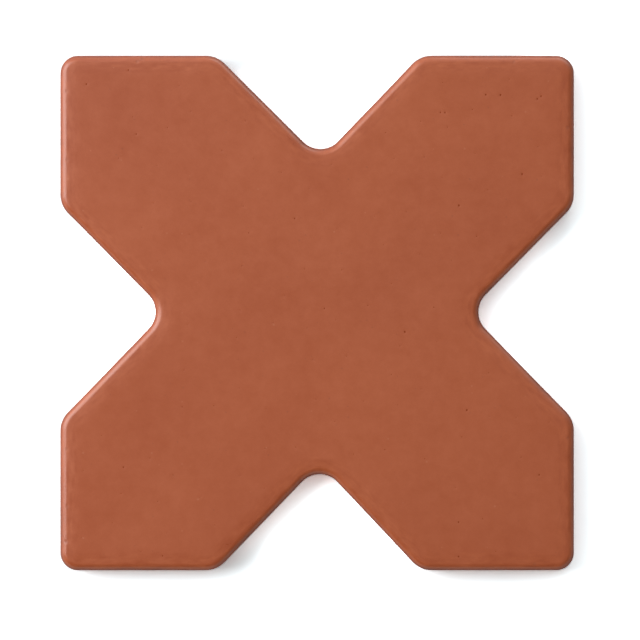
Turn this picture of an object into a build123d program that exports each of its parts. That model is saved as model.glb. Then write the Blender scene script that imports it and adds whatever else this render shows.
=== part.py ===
import os
from math import ceil

from build123d import *

# Outline, in millimetres. The tile is a square with a V-notch in the middle of each side.
tile_size = 136.0          # from side to side, both ways
notch_mouth_ends = 53.9    # between the sharp shoulders of the upper and lower notches
notch_mouth_sides = 56.8   # between the sharp shoulders of the left and right notches
notch_depth = 27.85        # from the side to the sharp root of each notch
tip_radius = 4.7           # the square corner at the end of each arm
shoulder_radius = 7.0      # where a side turns into a notch
root_radius = 6.4          # the bottom of each notch

# Section
tile_thickness = 8.5
arris_radius = 1.9         # rounded edge of the face
back_chamfer = 0.5         # broken edge of the back

# Keyed back: shallow square cells between ribs that run along the arms
key_cell = 9.0
key_pitch = 12.0
key_depth = 0.8
key_draft = 15.0           # degrees, so that the tile leaves the press
key_rim = 5.6              # flat border left between the cells and the outline
key_turn = 45.0            # degrees from the tile's sides

half_size = tile_size / 2
keys_each_way = 2 * ceil(tile_size / key_pitch)

os.makedirs("parts", exist_ok=True)

with BuildPart() as cross_tile:
    with BuildSketch() as outline:
        with BuildLine():
            Polyline(
                (0, half_size - notch_depth),
                (notch_mouth_ends / 2, half_size),
                (half_size, half_size),
                (half_size, notch_mouth_sides / 2),
                (half_size - notch_depth, 0),
            )
            mirror(about=Plane.YZ)
            mirror(about=Plane.XZ)
        make_face()
        # nearest the centre are the notch roots, farthest out are the tips
        fillet(outline.vertices().group_by(SortBy.DISTANCE)[0], root_radius)
        fillet(outline.vertices().group_by(SortBy.DISTANCE)[-1], tip_radius)
        # the corners that no arc ends at are the shoulders
        rounded = outline.edges().filter_by(GeomType.CIRCLE).vertices()
        fillet(outline.vertices() - rounded, shoulder_radius)
    extrude(amount=tile_thickness)

    fillet(cross_tile.faces().sort_by(Axis.Z)[-1].edges(), arris_radius)
    chamfer(cross_tile.faces().sort_by(Axis.Z)[0].edges(), back_chamfer)

    # a cell is pressed only where a whole one fits inside the border
    key_field = offset(outline.sketch, -(key_rim + key_cell / 2), mode=Mode.PRIVATE).face()
    key_grid = GridLocations(key_pitch, key_pitch, keys_each_way, keys_each_way)
    key_places = [Rot(0, 0, key_turn) * place for place in key_grid]
    with BuildSketch():
        with Locations(*[place for place in key_places if key_field.is_inside(place.position)]):
            Rectangle(key_cell, key_cell)
    extrude(amount=key_depth, taper=key_draft, mode=Mode.SUBTRACT)

cross_tile.part.label = "cross_tile"
export_step(cross_tile.part, "parts/cross_tile.step")
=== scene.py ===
import math

import bpy
from mathutils import Matrix, Vector


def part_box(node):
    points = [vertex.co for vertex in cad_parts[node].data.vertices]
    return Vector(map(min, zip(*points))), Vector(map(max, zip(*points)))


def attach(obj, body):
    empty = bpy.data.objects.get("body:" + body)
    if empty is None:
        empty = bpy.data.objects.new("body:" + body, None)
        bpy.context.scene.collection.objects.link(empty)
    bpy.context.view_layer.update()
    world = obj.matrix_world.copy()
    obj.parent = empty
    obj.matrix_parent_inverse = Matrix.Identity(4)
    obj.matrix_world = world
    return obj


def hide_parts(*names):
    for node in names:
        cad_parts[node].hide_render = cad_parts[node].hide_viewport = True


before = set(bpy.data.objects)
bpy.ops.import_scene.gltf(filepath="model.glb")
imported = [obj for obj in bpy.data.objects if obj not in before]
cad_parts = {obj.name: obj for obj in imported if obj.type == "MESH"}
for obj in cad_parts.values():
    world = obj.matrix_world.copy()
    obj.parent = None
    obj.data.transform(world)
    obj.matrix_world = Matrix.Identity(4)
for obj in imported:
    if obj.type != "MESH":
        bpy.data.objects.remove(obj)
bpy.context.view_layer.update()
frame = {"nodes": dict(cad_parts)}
print("frame loaded:", ", ".join(frame["nodes"]))

mm = 0.001
tileLow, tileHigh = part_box("cross_tile")
tileSize = tileHigh.x - tileLow.x
tileThickness = tileHigh.z - tileLow.z


def openSocket(sockets, key):  # by name, or by place among the sockets in use
    inUse = [s for s in sockets if not s.is_unavailable]
    return inUse[key] if isinstance(key, int) else next(s for s in inUse if s.name == key)


def heading(azimuth, elevation):  # a direction, from degrees
    turn, rise = math.radians(azimuth), math.radians(elevation)
    return Vector((math.cos(turn) * math.cos(rise), math.sin(turn) * math.cos(rise), math.sin(rise)))


class Wire:  # a node's output that takes arithmetic
    def __init__(self, graph, socket):
        self.graph = graph
        self.socket = socket

    def out(self, name):  # another output of the same node
        return Wire(self.graph, openSocket(self.socket.node.outputs, name))

    def __add__(self, other):
        return self.graph.math("ADD", self, other)

    def __sub__(self, other):
        return self.graph.math("SUBTRACT", self, other)

    def __mul__(self, other):
        return self.graph.math("MULTIPLY", self, other)

    def __truediv__(self, other):
        return self.graph.math("DIVIDE", self, other)

    def __lt__(self, other):
        return self.graph.math("LESS_THAN", self, other)

    def __gt__(self, other):
        return self.graph.math("GREATER_THAN", self, other)

    def __neg__(self):
        return self.graph.math("MULTIPLY", self, -1.0)

    def __rsub__(self, other):
        return self.graph.math("SUBTRACT", other, self)

    def __rtruediv__(self, other):
        return self.graph.math("DIVIDE", other, self)

    __radd__ = __add__
    __rmul__ = __mul__


class Graph:  # a node tree that grows by expressions
    def __init__(self, tree):
        self.tree = tree

    def node(self, kind, settings=None, sockets=None, out=0):  # settings first, then the sockets
        made = self.tree.nodes.new(kind)
        for name, value in (settings or {}).items():
            setattr(made, name, value)
        for key, value in (sockets or {}).items():
            self.feed(openSocket(made.inputs, key), value)
        return Wire(self, openSocket(made.outputs, out)) if made.outputs else made

    def feed(self, socket, value):
        for one in value if isinstance(value, list) else [value]:
            if isinstance(one, Wire):
                self.tree.links.new(one.socket, socket)
            else:
                socket.default_value = one

    def math(self, operation, *values):
        return self.node("ShaderNodeMath", {"operation": operation}, dict(enumerate(values)))

    def vector(self, operation, *values):
        return self.node("ShaderNodeVectorMath", {"operation": operation}, dict(enumerate(values)))

    def xyz(self, x, y, z):
        return self.node("ShaderNodeCombineXYZ", None, {"X": x, "Y": y, "Z": z})

    def split(self, vector):
        parts = self.node("ShaderNodeSeparateXYZ", None, {"Vector": vector})
        return parts, parts.out("Y"), parts.out("Z")

    def ease(self, value, low, high):  # 0 below low, 1 above high, smooth between
        ends = {"Value": value, "From Min": low, "From Max": high}
        return self.node("ShaderNodeMapRange", {"interpolation_type": "SMOOTHSTEP"}, ends)

    def noise(self, place, scale, detail=2.0, roughness=0.5):  # about 0 to 1, with 0.5 in the middle
        sockets = {"Vector": place, "Scale": scale, "Detail": detail, "Roughness": roughness}
        return self.node("ShaderNodeTexNoise", None, sockets)

    def mix(self, share, first, second):  # of two colours
        return self.node("ShaderNodeMix", {"data_type": "RGBA"}, {"Factor": share, "A": first, "B": second})


# The cross tile: one pressed and fired piece, drawn from its outline and its section.
outlineSizes = {
    "halfWide": 67.99 * mm,
    "halfTall": 68.15 * mm,
    "mouthEnds": 53.9 * mm,  # between the sharp shoulders of the upper and lower notches
    "mouthSides": 56.8 * mm,  # the same, left and right
    "notchDepth": 27.85 * mm,
    "tipRadius": 4.7 * mm,
    "shoulderRadius": 7.0 * mm,
    "rootRadius": 6.4 * mm,
    "strays": [  # of each notch from the rule in millimetres: mouth and root along the side, and depth
        (0.15, 0.31, -0.02),  # right
        (-0.34, -0.92, -0.45),  # top
        (-0.07, -0.36, -0.14),  # left
        (0.38, 0.70, 0.46),  # bottom
    ],
}
tileSizes = {  # inputs of the tile's tree, by name
    "Thickness": tileThickness,
    "Arris Radius": 1.9 * mm,
    "Back Edge": 0.5 * mm,
    "Face Inset": 2.4 * mm,  # where the swept edge hands over to the face
    "Edge Step": 0.35 * mm,
    "Face Step": 0.8 * mm,
    "Cushion Width": 6.0 * mm,  # the face falls away this far from the edge
    "Cushion Drop": 0.32 * mm,
    "Ripple": 0.05 * mm,  # slow rise and fall of the face
    "Edge Nibble": 0.09 * mm,  # unevenness of the rounded edge
    "Chip Radius": 0.7 * mm,
    "Chip Depth": 0.10 * mm,
    "Key Cell": 9.0 * mm,
    "Key Pitch": 12.0 * mm,
    "Key Depth": 0.8 * mm,
    "Key Rim": 5.0 * mm,
    "Key Corner": 1.0 * mm,
    "Pinhole Gap": 7.0 * mm,  # between the scattered pinholes
    "Pinhole Radius": 0.14 * mm,
    "Seed": 7,
}
roundSteps = {"corner": 24, "arris": 18, "cell": 4, "hole": 12, "bowl": 4}  # steps in each rounding
faceGrid = {
    "turn": math.radians(17.3),  # keeps the grid off the lines of the outline
    "reach": 1.3 * tileSize,  # so that the turned grid covers the tile
    "edgeGap": 0.8,  # left free along the edge, in grid steps
    "holeGap": 0.75,  # left free round a pinhole, in grid steps
    "holeReach": 0.5 * mm,  # added to that, for the pinhole itself
}
pinholeForm = {"long": 1.4, "wide": 1.1, "deep": 0.22}  # of the radius
skinSizes = {
    "weld": 2e-6,  # joins the points that the parts share, in metres
    "touch": 1e-6,  # nearer than this is on the surface
    "rippleScale": 45.0,  # both scales are per metre
    "nibbleScale": 320.0,
    "sharp": math.radians(38.0),  # edges that turn more stay crisp
}
pinholes = [  # x, y and radius in millimetres, as they lie on the face
    (44.6, 57.7, 0.26), (48.5, 57.6, 0.30), (58.2, 56.6, 0.26), (59.2, 57.3, 0.24), (32.6, 53.0, 0.22),
    (33.8, 53.0, 0.24), (54.2, 36.7, 0.30), (37.5, 28.4, 0.30), (23.2, -5.0, 0.30), (-5.9, 25.0, 0.22),
    (39.6, -25.7, 0.28), (37.4, -55.3, 0.24), (37.4, -64.4, 0.24), (58.7, -42.8, 0.24), (1.9, 1.2, 0.20),
    (-51.2, -40.8, 0.22), (-40.9, -64.2, 0.20), (-49.9, 64.2, 0.24), (-61.0, 60.5, 0.24),
    (-47.8, 47.3, 0.20),
]
edgeChips = [  # x and y in millimetres, small bites out of the rounded edge
    (-65.9, 55.8), (-66.3, 58.7), (-66.0, 40.5), (-66.2, -36.0), (-66.0, -51.0), (-66.4, -60.5),
    (-46.3, 67.2), (-47.7, 66.4), (-20.5, 66.2), (52.0, 66.4), (66.2, 49.0), (66.3, -33.0), (57.5, -66.3),
]


def outlineMesh(name):  # the sharp corners, and loose points for the pinholes and the chips
    o = outlineSizes
    halves = [o["halfWide"], o["halfTall"]]
    corners, radii = [], []
    for side, strays in enumerate(o["strays"]):
        mouthStray, rootStray, depthStray = (stray * mm for stray in strays)
        mouth = o["mouthEnds"] if side % 2 else o["mouthSides"]
        reach, across = halves[side % 2], halves[1 - side % 2]
        turn = Matrix.Rotation(side * math.pi / 2, 3, "Z")
        for inward, along, radius in (
            (0, -across, o["tipRadius"]),
            (0, mouthStray - mouth / 2, o["shoulderRadius"]),
            (o["notchDepth"] + depthStray, rootStray, o["rootRadius"]),
            (0, mouthStray + mouth / 2, o["shoulderRadius"]),
        ):
            corners.append(turn @ Vector((reach - inward, along, 0)))
            radii.append(radius)
    sides = [(i, (i + 1) % len(corners)) for i in range(len(corners))]
    holes = [Vector((x, y, 0)) * mm for x, y, radius in pinholes]
    chips = [Vector((x, y, 0)) * mm for x, y in edgeChips]
    points = corners + holes + chips
    mesh = bpy.data.meshes.new(name)
    mesh.from_pydata(points, sides, [])
    marks = {
        "cornerRadius": radii,
        "holeRadius": [0.0] * len(corners) + [hole[2] * mm for hole in pinholes],
        "chip": [0.0] * len(corners + holes) + [1.0] * len(chips),
    }
    for label, values in marks.items():
        padded = values + [0.0] * (len(points) - len(values))
        mesh.attributes.new(label, "FLOAT", "POINT").data.foreach_set("value", padded)
    return mesh


def sizedTree(name, sizes):  # a geometry tree with one named input for each size
    tree = bpy.data.node_groups.new(name, "GeometryNodeTree")
    face = tree.interface
    face.new_socket("Geometry", in_out="OUTPUT", socket_type="NodeSocketGeometry")
    face.new_socket("Geometry", in_out="INPUT", socket_type="NodeSocketGeometry")
    face.new_socket("Material", in_out="INPUT", socket_type="NodeSocketMaterial")
    for label, value in sizes.items():
        kind = "NodeSocketInt" if isinstance(value, int) else "NodeSocketFloat"
        face.new_socket(label, in_out="INPUT", socket_type=kind)
    graph = Graph(tree)
    source = graph.node("NodeGroupInput")
    return graph, {s.name: source.out(s.name) for s in source.socket.node.outputs if s.name}


class TileTree:  # the steps of the tile's geometry tree
    def __init__(self, graph, given):
        self.g = graph
        self.given = given
        self.place = graph.node("GeometryNodeInputPosition")
        self.x, self.y, self.z = graph.split(self.place)
        self.ground = graph.xyz(self.x, self.y, 0.0)  # the position, laid on the ground plane

    def value(self, name):
        return self.g.node("GeometryNodeInputNamedAttribute", {"data_type": "FLOAT"}, {"Name": name})

    def stored(self, geometry, name, value):
        settings = {"data_type": "FLOAT", "domain": "POINT"}
        sockets = {"Geometry": geometry, "Name": name, "Value": value}
        return self.g.node("GeometryNodeStoreNamedAttribute", settings, sockets)

    def random(self, low, high):
        sockets = {"Min": low, "Max": high, "Seed": self.given["Seed"]}
        return self.g.node("FunctionNodeRandomValue", {"data_type": "FLOAT"}, sockets)

    def moved(self, geometry, **change):  # Translation or Rotation
        return self.g.node("GeometryNodeTransform", None, {"Geometry": geometry, **change})

    def pushed(self, geometry, offset):
        return self.g.node("GeometryNodeSetPosition", None, {"Geometry": geometry, "Offset": offset})

    def joined(self, *pieces):
        return self.g.node("GeometryNodeJoinGeometry", None, {"Geometry": list(pieces)})

    def realized(self, geometry):
        return self.g.node("GeometryNodeRealizeInstances", None, {"Geometry": geometry})

    def flipped(self, mesh):
        return self.g.node("GeometryNodeFlipFaces", None, {"Mesh": mesh})

    def filled(self, curve, mode="TRIANGLES"):
        return self.g.node("GeometryNodeFillCurve", {"mode": mode}, {"Curve": curve})

    def wires(self, curve):
        return self.g.node("GeometryNodeCurveToMesh", None, {"Curve": curve})

    def points(self, mesh, selection=True):
        return self.g.node("GeometryNodeMeshToPoints", None, {"Mesh": mesh, "Selection": selection})

    def distance(self, target, element, source):
        near = {"Geometry": target, "Sample Position": source}
        return self.g.node("GeometryNodeProximity", {"target_element": element}, near, "Distance")

    def either(self, *tests):
        found = tests[0]
        for test in tests[1:]:
            found = self.g.math("MAXIMUM", found, test)
        return found

    def dropped(self, geometry, selection, domain):
        what = {"Geometry": geometry, "Selection": selection}
        return self.g.node("GeometryNodeDeleteGeometry", {"domain": domain, "mode": "ALL"}, what)

    def unpinched(self, mesh):  # takes away points where two parts of a mesh meet by a corner only
        for again in range(4):
            near = self.g.node("GeometryNodeInputMeshVertexNeighbors")
            faces = near.out("Face Count")
            mesh = self.dropped(mesh, self.either(near - faces > 1.5, faces < 0.5), "POINT")
        return mesh

    def rimEdges(self):  # edges with one face
        return self.g.node("GeometryNodeInputMeshEdgeNeighbors") < 1.5

    def loopOf(self, mesh, selection):
        return self.g.node("GeometryNodeMeshToCurve", None, {"Mesh": mesh, "Selection": selection})

    def rounded(self, curve, radius, count):
        sockets = {"Curve": curve, "Radius": radius, "Count": count}
        return self.g.node("GeometryNodeFilletCurve", {"mode": "POLY"}, sockets)

    def evenGrid(self, step, count):
        span = (count - 1.0) * step
        sockets = {"Size X": span, "Size Y": span, "Vertices X": count, "Vertices Y": count}
        return self.g.node("GeometryNodeMeshGrid", None, sockets)

    def stamped(self, points, instance, turn, scale=(1.0, 1.0, 1.0)):
        sockets = {"Points": points, "Instance": instance, "Rotation": turn, "Scale": scale}
        return self.realized(self.g.node("GeometryNodeInstanceOnPoints", None, sockets))

    def edge(self):  # outline and section, swept round the tile
        g, v = self.g, self.given
        corners = self.loopOf(v["Geometry"], True)
        loop = self.rounded(corners, self.value("cornerRadius"), roundSteps["corner"])
        evenly = {"Curve": loop, "Length": v["Edge Step"]}
        loop = g.node("GeometryNodeResampleCurve", {"mode": "LENGTH"}, evenly)
        self.loop = g.node("GeometryNodeSetCurveNormal", {"mode": "Z_UP"}, {"Curve": loop})
        path = [  # inset and height
            (v["Back Edge"], 0.0),
            (0.0, v["Back Edge"]),
            (0.0, v["Thickness"]),
            (v["Face Inset"], v["Thickness"]),
        ]
        ends = {f"Point {n}": g.xyz(-inset, -height, 0.0) for n, (inset, height) in enumerate(path, 1)}
        section = g.node("GeometryNodeCurvePrimitiveQuadrilateral", {"mode": "POINTS"}, ends)
        section = g.node("GeometryNodeSetSplineCyclic", None, {"Geometry": section, "Cyclic": False})
        index = g.node("GeometryNodeInputIndex")
        isArris = (index > 1.5) * (index < 2.5)
        section = self.rounded(section, isArris * v["Arris Radius"], roundSteps["arris"])
        sweep = {"Curve": self.loop, "Profile Curve": section}
        shell = self.flipped(g.node("GeometryNodeCurveToMesh", None, sweep))
        upper = self.z > v["Thickness"] * 0.5
        down = g.xyz(0.0, 0.0, -v["Thickness"])
        self.faceLoop = self.moved(self.loopOf(shell, self.rimEdges() * upper), Translation=down)
        self.backLoop = self.loopOf(shell, self.rimEdges() * (1.0 - upper))
        return shell

    def holes(self, lid):  # the pinholes seen on the face, and a few scattered ones
        g, v = self.g, self.given
        seen = self.points(v["Geometry"], self.value("holeRadius") > 0.0)
        spread = {"Mesh": lid, "Distance Min": v["Pinhole Gap"], "Seed": v["Seed"]}
        spread["Density Max"] = 20000.0  # to the square metre, before the gap thins them
        strewn = g.node("GeometryNodeDistributePointsOnFaces", {"distribute_method": "POISSON"}, spread)
        crowded = self.distance(seen, "POINTS", self.place) < v["Pinhole Gap"] * 0.5
        edgy = self.distance(self.wires(self.faceLoop), "EDGES", self.place) < v["Pinhole Gap"] * 0.3
        strewn = self.dropped(strewn, self.either(crowded, edgy), "POINT")
        size = self.random(v["Pinhole Radius"] * 0.5, v["Pinhole Radius"])
        return self.joined(seen, self.stored(strewn, "holeRadius", size))

    def face(self):  # an even grid inside the edge, with a bowl for each pinhole
        g, v = self.g, self.given
        lid = self.filled(self.faceLoop)
        holes = self.holes(lid)
        f, step = faceGrid, v["Face Step"]
        grid = self.evenGrid(step, g.math("FLOOR", f["reach"] / step))
        grid = self.moved(grid, Rotation=(0.0, 0.0, f["turn"]))
        outside = self.distance(lid, "FACES", self.place) > skinSizes["touch"]
        edgy = self.distance(self.wires(self.faceLoop), "EDGES", self.place) < step * f["edgeGap"]
        pitted = self.distance(holes, "POINTS", self.place) < step * f["holeGap"] + f["holeReach"]
        grid = self.unpinched(self.dropped(grid, self.either(outside, edgy, pitted), "FACE"))
        radius = self.value("holeRadius")
        turn = g.xyz(0.0, 0.0, self.random(0.0, math.tau))
        spread = g.xyz(*(radius * pinholeForm[way] for way in ("long", "wide", "deep")))
        around = {"Resolution": roundSteps["hole"], "Radius": 1.0}
        ring = g.node("GeometryNodeCurvePrimitiveCircle", {"mode": "RADIUS"}, around)
        cone = {"Vertices": roundSteps["hole"], "Side Segments": roundSteps["bowl"]}
        cone.update({"Radius Top": 0.0, "Radius Bottom": 1.0, "Depth": 1.0})
        bowl = g.node("GeometryNodeMeshCone", {"fill_type": "NONE"}, cone)
        deep = g.math("MAXIMUM", 1.0 - (self.x * self.x + self.y * self.y), 0.0)
        bowl = self.stored(bowl, "pinhole", deep)
        hollow = {"Geometry": bowl, "Position": g.xyz(self.x, self.y, -(deep * deep))}
        bowl = g.node("GeometryNodeSetPosition", None, hollow)
        rings = self.stamped(holes, ring, turn, spread)
        bowls = self.stamped(holes, bowl, turn, spread)
        strip = self.filled(self.joined(self.faceLoop, self.loopOf(grid, self.rimEdges()), rings))
        return self.moved(self.joined(grid, strip, bowls), Translation=g.xyz(0.0, 0.0, v["Thickness"]))

    def back(self):  # lands between shallow square cells that key into the adhesive
        g, v = self.g, self.given
        alongArms = (0.0, 0.0, math.pi / 4)
        spots = self.evenGrid(v["Key Pitch"], 2.0 * g.math("CEIL", tileSize / v["Key Pitch"]))
        spots = self.points(self.moved(spots, Rotation=alongArms))
        outside = self.distance(self.filled(self.loop), "FACES", self.place) > skinSizes["touch"]
        rim = v["Key Rim"] + v["Key Cell"] * 0.5
        edgy = self.distance(self.wires(self.loop), "EDGES", self.place) < rim
        spots = self.dropped(spots, self.either(outside, edgy), "POINT")
        square = {"Width": v["Key Cell"], "Height": v["Key Cell"]}
        cell = g.node("GeometryNodeCurvePrimitiveQuadrilateral", {"mode": "RECTANGLE"}, square)
        cell = self.rounded(cell, v["Key Corner"], roundSteps["cell"])
        lands = self.filled(self.joined(self.backLoop, self.stamped(spots, cell, alongArms)))
        pocket, top = self.filled(cell, "NGONS"), True
        for rise, shrink in (
            (0.2, 0.975),  # soft lip
            (0.65, 0.965),  # drafted wall
            (0.15, 0.965),  # soft floor
        ):
            lift = {"Selection": top, "Offset": (0.0, 0.0, 1.0), "Offset Scale": v["Key Depth"] * rise}
            pocket = g.node("GeometryNodeExtrudeMesh", {"mode": "FACES"}, {"Mesh": pocket, **lift})
            top = pocket.out("Top")
            narrow = {"Geometry": pocket, "Selection": top, "Scale": shrink}
            pocket = g.node("GeometryNodeScaleElements", {"domain": "FACE"}, narrow)
        return self.flipped(self.joined(lands, self.stamped(spots, pocket, alongArms)))

    def finish(self, whole):  # one skin, with the cushion, the ripple and the nibbled edge
        g, v = self.g, self.given
        parts = {"Geometry": whole, "Distance": skinSizes["weld"]}
        whole = g.node("GeometryNodeMergeByDistance", None, parts)
        inward = self.distance(self.wires(self.loop), "EDGES", self.ground)
        falls = 1.0 - g.math("MINIMUM", inward / v["Cushion Width"], 1.0)
        whole = self.stored(whole, "rim", falls)
        arrisFoot = v["Thickness"] - v["Arris Radius"]
        onFace = g.ease(self.z, v["Thickness"] * 0.4, arrisFoot)
        ripple = (g.noise(self.ground, skinSizes["rippleScale"], 1.0) - 0.5) * v["Ripple"]
        lift = (ripple - falls * falls * v["Cushion Drop"]) * onFace
        whole = self.pushed(whole, g.xyz(0.0, 0.0, lift))
        grain = g.noise(self.place, skinSizes["nibbleScale"], 4.0, 0.6) - 0.5
        arris = v["Arris Radius"]
        onArris = g.ease(self.z, arrisFoot + arris * 0.3, arrisFoot + arris * 0.8)
        onArris = onArris * (1.0 - g.ease(inward, arris * 0.8, v["Face Inset"]))
        chips = self.points(v["Geometry"], self.value("chip") > 0.5)
        gap = self.distance(chips, "POINTS", self.ground) + grain * v["Chip Radius"]
        bite = 1.0 - g.ease(gap, 0.0, v["Chip Radius"])
        whole = self.stored(whole, "nick", bite * onArris)
        push = (grain * v["Edge Nibble"] - bite * v["Chip Depth"]) * onArris
        along = {"Vector": g.node("GeometryNodeInputNormal"), "Scale": push}
        whole = self.pushed(whole, g.node("ShaderNodeVectorMath", {"operation": "SCALE"}, along))
        whole = g.node("GeometryNodeSetShadeSmooth", None, {"Geometry": whole, "Shade Smooth": True})
        whole = self.realized(whole)
        return g.node("GeometryNodeSetMaterial", None, {"Geometry": whole, "Material": v["Material"]})


def makeTile(material):
    graph, given = sizedTree("crossTileTree", tileSizes)
    steps = TileTree(graph, given)
    tile = steps.finish(steps.joined(steps.edge(), steps.face(), steps.back()))
    graph.node("NodeGroupOutput", None, {"Geometry": tile})
    seed = bpy.data.objects.new("tileOutline", outlineMesh("tileOutline"))
    bpy.context.scene.collection.objects.link(seed)
    grow = seed.modifiers.new("crossTile", "NODES")
    grow.node_group = graph.tree
    sockets = {s.name: s.identifier for s in graph.tree.interface.items_tree if s.in_out == "INPUT"}
    grow[sockets["Material"]] = material
    for label, value in tileSizes.items():
        grow[sockets[label]] = value
    grown = seed.evaluated_get(bpy.context.evaluated_depsgraph_get())
    mesh = bpy.data.meshes.new_from_object(grown)
    mesh.name = "crossTile"
    mesh.set_sharp_from_angle(angle=skinSizes["sharp"])
    bpy.data.objects.remove(seed)
    tileObject = bpy.data.objects.new("crossTile", mesh)
    bpy.context.scene.collection.objects.link(tileObject)
    print("tile grown:", len(mesh.vertices), "points,", len(mesh.polygons), "faces")
    return tileObject


# Fired clay: a satin face over drier, browner walls and a dusty back. Scales are per metre.
clayLook = {
    "deep": (0.360, 0.0688, 0.0161, 1.0),
    "pale": (0.450, 0.0993, 0.0249, 1.0),
    "wall": (0.190, 0.038, 0.011, 1.0),
    "back": (0.400, 0.125, 0.066, 1.0),
    # raw clay in the pinholes, darkened as painted shade
    "pitClayAndShade": (0.250, 0.047, 0.014, 1.0),
    "grog": (0.190, 0.046, 0.018, 1.0),
    "chalk": (0.520, 0.190, 0.095, 1.0),
    "mottle": 62.0,
    "drift": 17.0,
    "cloud": 250.0,
    "cloudTint": (0.11, 0.25, 0.72),  # how far it moves red, green and blue
    "paintedCornerShade": (-62.0 * mm, 60.0 * mm, 0.0),  # middle of the painted shade that darkens the upper left corner
    "paintedCornerShadeReach": 60.0 * mm,
    "toneShares": {"mottle": 0.72, "drift": 0.55, "grain": 0.6, "smear": 2.0, "paintedCornerShade": 0.36},
    "grain": 2300.0,
    "speckle": 620.0,
    "peel": 520.0,
    "smear": 600.0,
    "streaks": 900.0,
    "faceRoughness": 0.375,
    "wallRoughness": 0.72,
    "wallTop": (1.4 * mm, 0.35 * mm),  # below the face, where the wall's colour gives way to the face's
    "backTop": (0.2 * mm, 0.9 * mm),  # above the floor, where the back's gives way to the wall's
    "waver": 1.2 * mm,  # of both borders
    "gloss": 0.85,
    "relief": {"Strength": 0.35, "Distance": 0.02 * mm},
}


def fillMaterial(name):
    material = bpy.data.materials.new(name)
    material.use_nodes = True
    material.node_tree.nodes.clear()
    return material, Graph(material.node_tree)


def specks(g, place, scale, share, size):  # sparse dots: a share of the cells holds one
    settings, sockets = {"feature": "F1"}, {"Vector": place, "Scale": scale}
    cells = g.node("ShaderNodeTexVoronoi", settings, sockets, "Distance")
    pick, width, tone = g.split(cells.out("Color"))
    reach = size * (0.4 + width)
    return (pick < share) * (1.0 - g.ease(cells, reach * 0.5, reach)) * (0.35 + tone * 0.65)


def clayMaterial():
    material, g = fillMaterial("terracotta")
    look = clayLook
    place = g.node("ShaderNodeTexCoord", out="Object")
    x, y, z = g.split(place)
    mottle = g.noise(place, look["mottle"], 6.0, 0.62) - 0.5
    drift = g.noise(place, look["drift"], 2.0) - 0.5
    cloud = g.noise(place, look["cloud"], 2.0, 0.8) - 0.5
    grain = g.noise(place, look["grain"], 3.0, 0.6) - 0.5
    peel = g.noise(place, look["peel"], 2.0) - 0.5
    darkDots = specks(g, place, look["speckle"], 0.16, 0.16)
    paleDots = specks(g, g.vector("ADD", place, (0.31, 0.17, 0.07)), look["speckle"] * 0.8, 0.12, 0.14)
    marks = ("pinhole", "rim", "nick")
    pitClayAndShade, rim, nick = (g.node("ShaderNodeAttribute", {"attribute_name": m}, None, "Fac") for m in marks)

    # the pressed walls below the rounded edge, with a wavering border, and the back
    low = z + (mottle + grain * 0.5) * look["waver"]
    wall = 1.0 - g.ease(low, *(tileThickness - depth for depth in look["wallTop"]))
    back = 1.0 - g.ease(low, *look["backTop"])
    streaks = g.noise(g.xyz(x, y, z * 0.12), look["streaks"], 3.0, 0.6) - 0.5

    along = g.xyz(x * 0.45, y * 0.45, rim * 9.0 * mm)  # sponge strokes run along the edge
    smear = (g.noise(along, look["smear"], 4.0, 0.6) - 0.5) * g.ease(rim, 0.0, 0.5)
    # painted shade: the face darker towards its upper left corner
    paintedCornerShade = 1.0 - g.ease(g.vector("DISTANCE", place, look["paintedCornerShade"]), 0.0, look["paintedCornerShadeReach"])
    t = look["toneShares"]
    tone = 0.5 + mottle * t["mottle"] + drift * t["drift"] + grain * t["grain"]
    tone = tone + smear * t["smear"] - paintedCornerShade * t["paintedCornerShade"]
    clay = g.mix(tone, look["deep"], look["pale"])
    clay = g.vector("MULTIPLY", clay, g.xyz(*(1.0 + cloud * share for share in look["cloudTint"])))
    clay = g.mix(darkDots * 0.45, clay, look["grog"])
    clay = g.mix(paleDots * 0.30, clay, look["chalk"])
    side = g.mix(0.36 + streaks * 0.9 + mottle * 0.8, look["wall"], look["deep"])
    clay = g.mix(wall, clay, side)
    dusty = g.mix(0.5 + mottle * 2.2 + grain, look["back"], look["pale"])
    clay = g.mix(back, clay, dusty)
    clay = g.mix(nick * 0.3, clay, look["grog"])

    worn = g.ease(rim, 0.60, 0.95) * (1.0 - wall)  # the handled edge, a little smoother
    rough = look["faceRoughness"] + mottle * 0.20 + grain * 0.12 + smear * 0.35
    rough = rough - worn * 0.04 + nick * 0.25
    rough = rough + wall * (look["wallRoughness"] - look["faceRoughness"])

    height = grain * (0.35 + wall * 0.9) + peel * 0.8 - darkDots * 0.25 + streaks * wall * 0.8
    bumps = g.node("ShaderNodeBump", None, {**look["relief"], "Height": height})
    satin = {"Base Color": clay, "Roughness": rough, "Specular IOR Level": look["gloss"], "Normal": bumps}
    satin = g.node("ShaderNodeBsdfPrincipled", None, satin)
    matt = g.node("ShaderNodeBsdfDiffuse", None, {"Color": look["pitClayAndShade"]})  # the raw clay in the pinholes, its darker colour also painted shade in these shallow hollows
    shader = g.node("ShaderNodeMixShader", None, {"Fac": pitClayAndShade, 1: satin, 2: matt})
    g.node("ShaderNodeOutputMaterial", None, {"Surface": shader})
    return material
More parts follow.
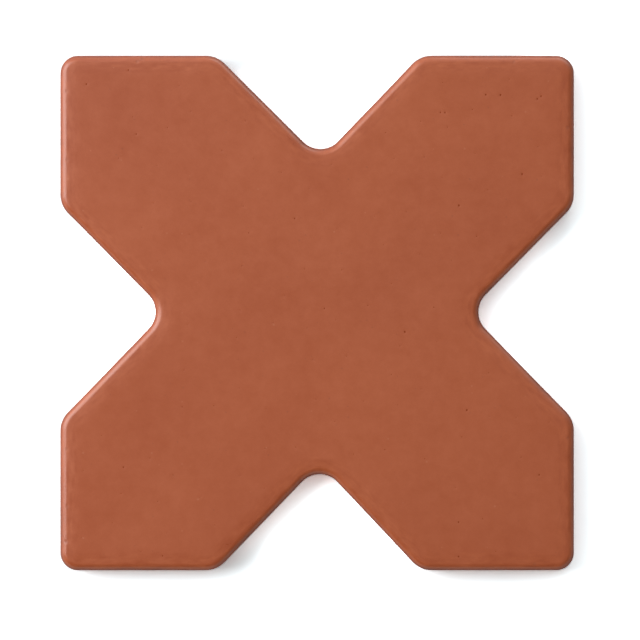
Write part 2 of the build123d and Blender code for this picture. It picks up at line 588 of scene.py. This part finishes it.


# The stage: a pale floor on which the tile's shadow is painted deeper or lighter beside it, a white
# surround that is brighter towards the lamps, two lamps and the camera.
stageLook = {
    "floor": (0.75, 0.75, 0.75, 1.0),
    "floorSeen": (2.49, 2.73, 2.83),  # as the camera sees it, so that the open floor is white
    "paintedShadeShare": {"left": 0.48, "top": 0.48, "bottom": 0.865, "notches": 1.45},  # of that, round the tile: painted shade and light, dimmer beside the left, top and bottom sides and brighter in the notches, to shape the tile's shadow
    "besideFade": (8.0 * mm, 1.0 * mm),  # inside the tile's sides, where each share comes in
    "rightFade": 18.0 * mm,  # the right side keeps the open floor's white
    "notchFade": (12.0 * mm, 1.0 * mm),  # inside the tile's sides, where the notches' share goes out
    "shadeFade": 20.0 * mm,  # across the tile, from the lit notches to the shaded ones
    "floorReach": 3.0,
    "floorDrop": 0.02 * mm,  # below the tile, so that the two never flicker
    "fillLow": 0.15,
    "fillHigh": 0.92,
    "fillFrom": (109.0, 6.5),  # azimuth and elevation of the brighter side
    "fillSpread": (-0.3, 0.9),  # cosines of the angles from it, dark to bright
    "glow": (1.8, 1.48, 1.2),  # low bright band, as from warm walls
    "glowFrom": (250.0, 0.0),
    "glowSpread": (-0.6, 0.6),
    "glowHeight": 0.5,  # sine of the elevation where the band ends
    "lamps": [  # azimuth, elevation, distance, width, height, strength
        (159.0, 33.0, 0.72, 0.65, 0.70, 3.75),
        (64.0, 10.0, 0.60, 0.47, 0.19, 2.6),
    ],
}
photoFrame = {
    "pixels": 640,
    "tilePixels": 513.6,  # the tile's width in the photograph
    "tileCentre": (317.18, 313.03),  # its centre there
    "lens": 250.0,
}


def makeFloor():
    material, g = fillMaterial("floorPaperWithPaintedShade")
    s = stageLook
    x, y = g.split(g.node("ShaderNodeTexCoord", out="Object"))[:2]
    # painted shade and light on the floor: the camera's floor colour scaled by side and in the notches
    share, halfTile = 1.0, tileSize / 2
    notRight = 1.0 - g.ease(x, halfTile - s["rightFade"], halfTile)
    for side, reach in (("left", -x), ("top", y), ("bottom", -y)):
        beside = g.ease(reach, *(halfTile - inset for inset in s["besideFade"])) * notRight
        share = g.math("MINIMUM", share, 1.0 - beside * (1.0 - s["paintedShadeShare"][side]))
    outward = g.math("MAXIMUM", g.math("ABSOLUTE", x), g.math("ABSOLUTE", y))
    within = 1.0 - g.ease(outward, *(halfTile - inset for inset in s["notchFade"]))
    within = within * g.ease(x - y, 0.0, s["shadeFade"])
    share = share + within * (s["paintedShadeShare"]["notches"] - 1.0)
    white = g.vector("SCALE", s["floorSeen"], share)
    seen = g.node("ShaderNodeLightPath", out="Is Camera Ray")
    seenPaperWithPaintedShade = g.mix(seen, s["floor"], white)
    shader = g.node("ShaderNodeBsdfDiffuse", None, {"Color": seenPaperWithPaintedShade})
    g.node("ShaderNodeOutputMaterial", None, {"Surface": shader})
    level = tileLow.z - s["floorDrop"]
    ways = ((-1, -1), (1, -1), (1, 1), (-1, 1))
    corners = [(right * s["floorReach"], up * s["floorReach"], level) for right, up in ways]
    mesh = bpy.data.meshes.new("floor")
    mesh.from_pydata(corners, [], [(0, 1, 2, 3)])
    mesh.materials.append(material)
    floor = bpy.data.objects.new("floor", mesh)
    bpy.context.scene.collection.objects.link(floor)


def makeSurround():
    s = stageLook
    world = bpy.data.worlds.new("surround")
    bpy.context.scene.world = world
    world.use_nodes = True
    world.node_tree.nodes.clear()
    g = Graph(world.node_tree)
    toward = g.node("ShaderNodeTexCoord", out="Generated")
    toFill = g.vector("DOT_PRODUCT", toward, tuple(heading(*s["fillFrom"])))
    fill = s["fillLow"] + g.ease(toFill, *s["fillSpread"]) * (s["fillHigh"] - s["fillLow"])
    rise = g.split(toward)[2]
    band = g.math("MAXIMUM", 1.0 - g.math("ABSOLUTE", rise) / s["glowHeight"], 0.0)
    toGlow = g.vector("DOT_PRODUCT", toward, tuple(heading(*s["glowFrom"])))
    glow = g.vector("SCALE", s["glow"], band * band * g.ease(toGlow, *s["glowSpread"]))
    lit = g.vector("ADD", g.xyz(fill, fill, fill), glow)
    seen = g.node("ShaderNodeLightPath", out="Is Camera Ray")
    colour = g.mix(seen, lit, (1.0, 1.0, 1.0, 1.0))
    light = g.node("ShaderNodeBackground", None, {"Color": colour, "Strength": 1.0})
    g.node("ShaderNodeOutputWorld", None, {"Surface": light})


def makeLamps():
    for azimuth, elevation, distance, width, height, strength in stageLook["lamps"]:
        out = heading(azimuth, elevation)
        data = bpy.data.lights.new("softbox", "AREA")
        data.shape = "RECTANGLE"
        data.size, data.size_y = width, height
        data.energy = strength * math.pi * width * height
        lamp = bpy.data.objects.new("softbox", data)
        lamp.location = out * distance
        lamp.rotation_euler = out.to_track_quat("Z", "Y").to_euler()
        lamp.visible_camera = False
        bpy.context.scene.collection.objects.link(lamp)


def makeCamera():
    p = photoFrame
    scale = tileSize / p["tilePixels"]  # metres to a pixel, at the tile
    data = bpy.data.cameras.new("camera")
    data.lens = p["lens"]
    reach = scale * p["pixels"] * data.lens / data.sensor_width
    data.clip_start, data.clip_end = reach * 0.01, reach * 20
    camera = bpy.data.objects.new("camera", data)
    middle = p["pixels"] / 2
    camera.location = (
        (middle - p["tileCentre"][0]) * scale,
        (p["tileCentre"][1] - middle) * scale,
        tileHigh.z - tileSizes["Arris Radius"] + reach,
    )
    bpy.context.scene.collection.objects.link(camera)
    bpy.context.scene.camera = camera


tile = makeTile(clayMaterial())
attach(tile, "root")
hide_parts("cross_tile")
makeFloor()
makeSurround()
makeLamps()
makeCamera()
bpy.context.scene.view_settings.view_transform = "Standard"
print("stage set")
